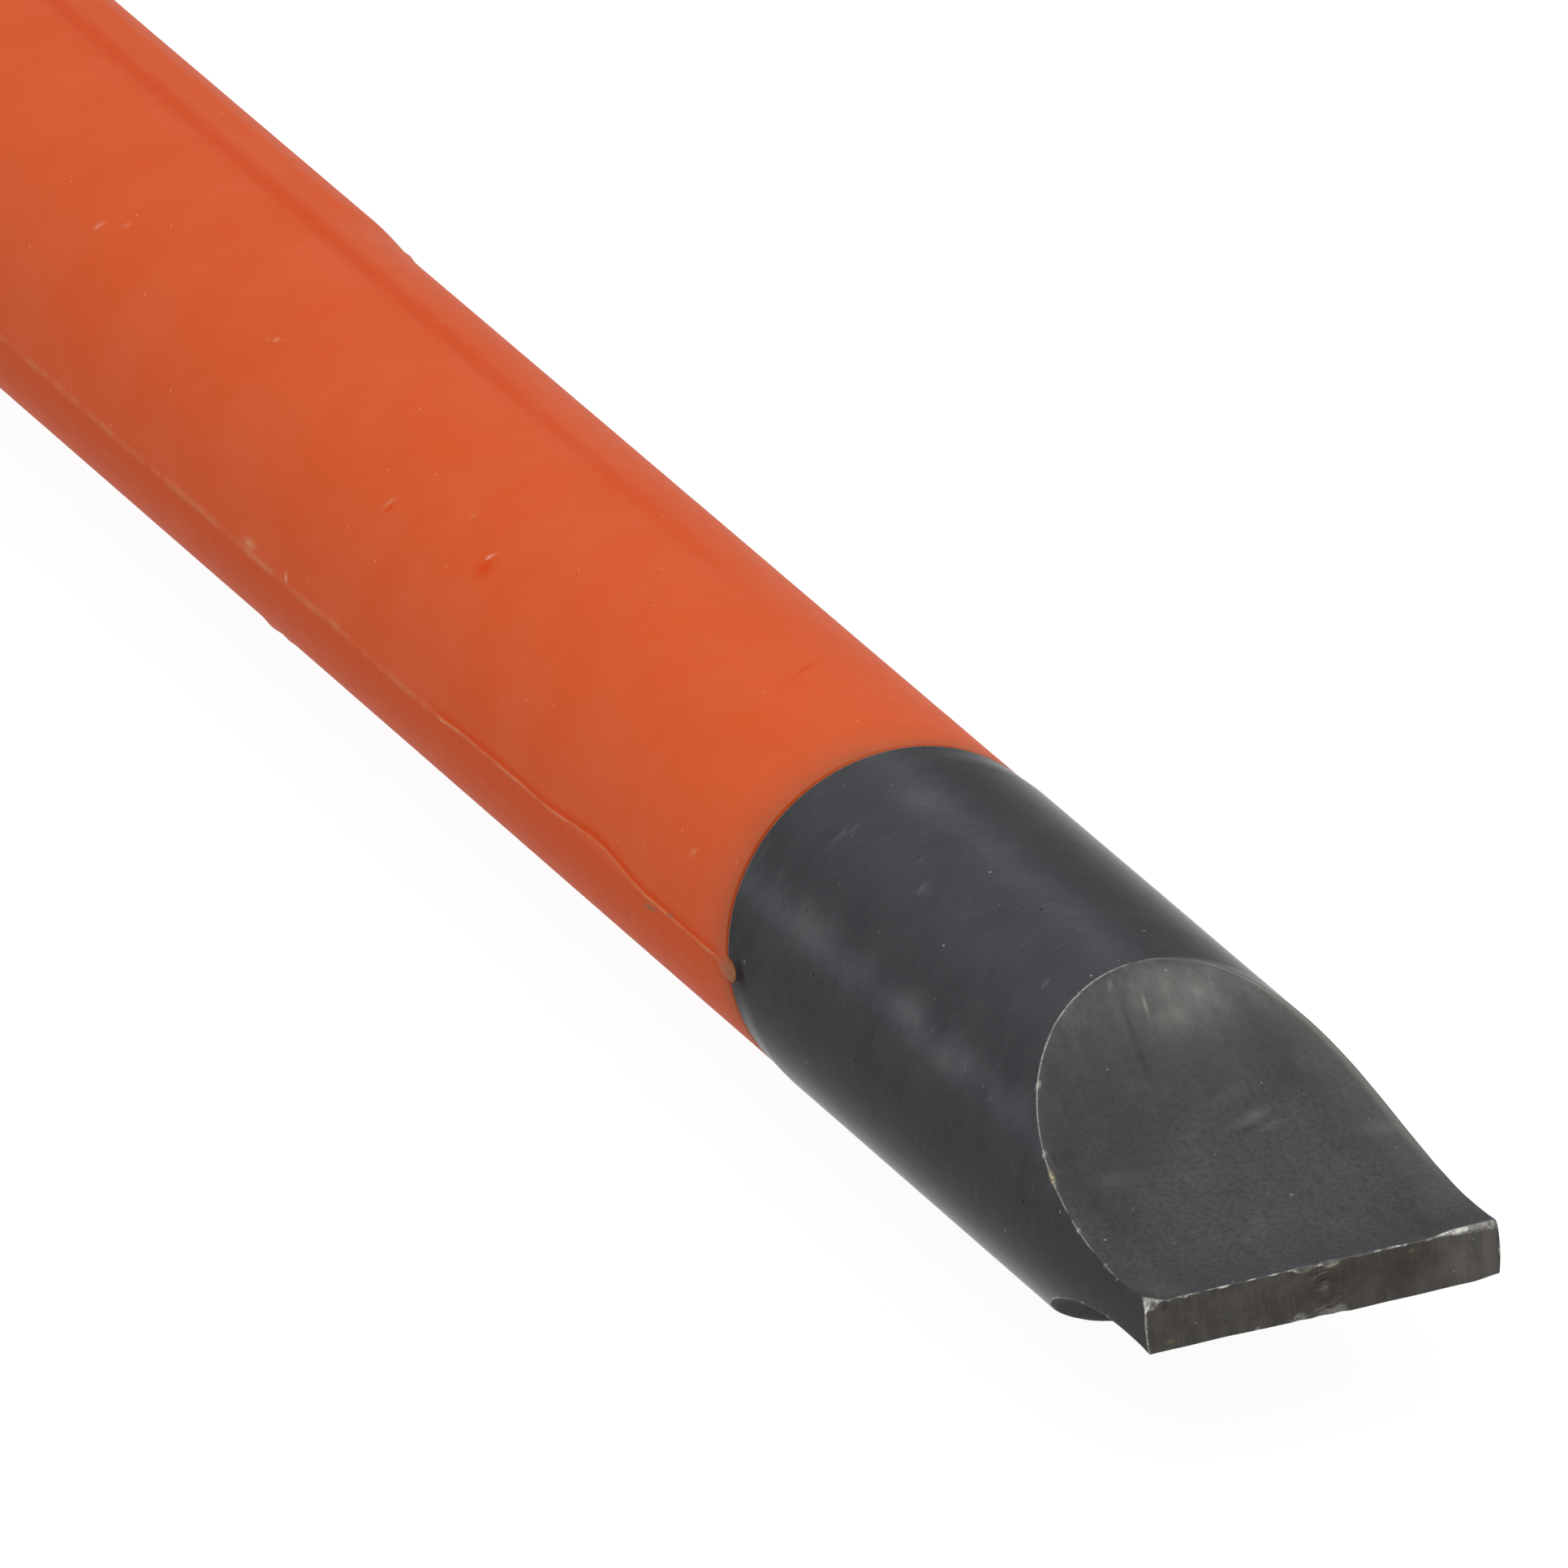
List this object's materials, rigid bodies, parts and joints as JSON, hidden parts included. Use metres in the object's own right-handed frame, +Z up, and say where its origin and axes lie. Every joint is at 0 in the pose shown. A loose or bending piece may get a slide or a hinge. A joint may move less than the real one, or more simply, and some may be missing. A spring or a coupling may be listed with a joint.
{
  "type": "cold chisel",
  "caption": "Slim round cold chisel with a blunt flat blade ground hollow on both sides, a moulded orange sleeve on the shank and a bare struck head.",
  "frame": {"origin": "under the middle of the chisel as it lies on its side, at the level of the surface it lies on", "axes": "+X along the bar towards the blade's end face, +Z up, square to the blade's flats, Y across the blade's width"},
  "size_m": [0.1524, 0.0126, 0.0127],
  "materials": {
    "blackened_steel": "dark blue-grey oxide on turned and ground tool steel, satin, worn bright along the edges",
    "orange_sleeve": "semi-matt moulded orange plastic, lightly scuffed, with a fine parting line along each side"
  },
  "bodies": {
    "root": {"chisel_bar": "blackened_steel", "shank_sleeve": "orange_sleeve"}
  },
  "joints": []
}
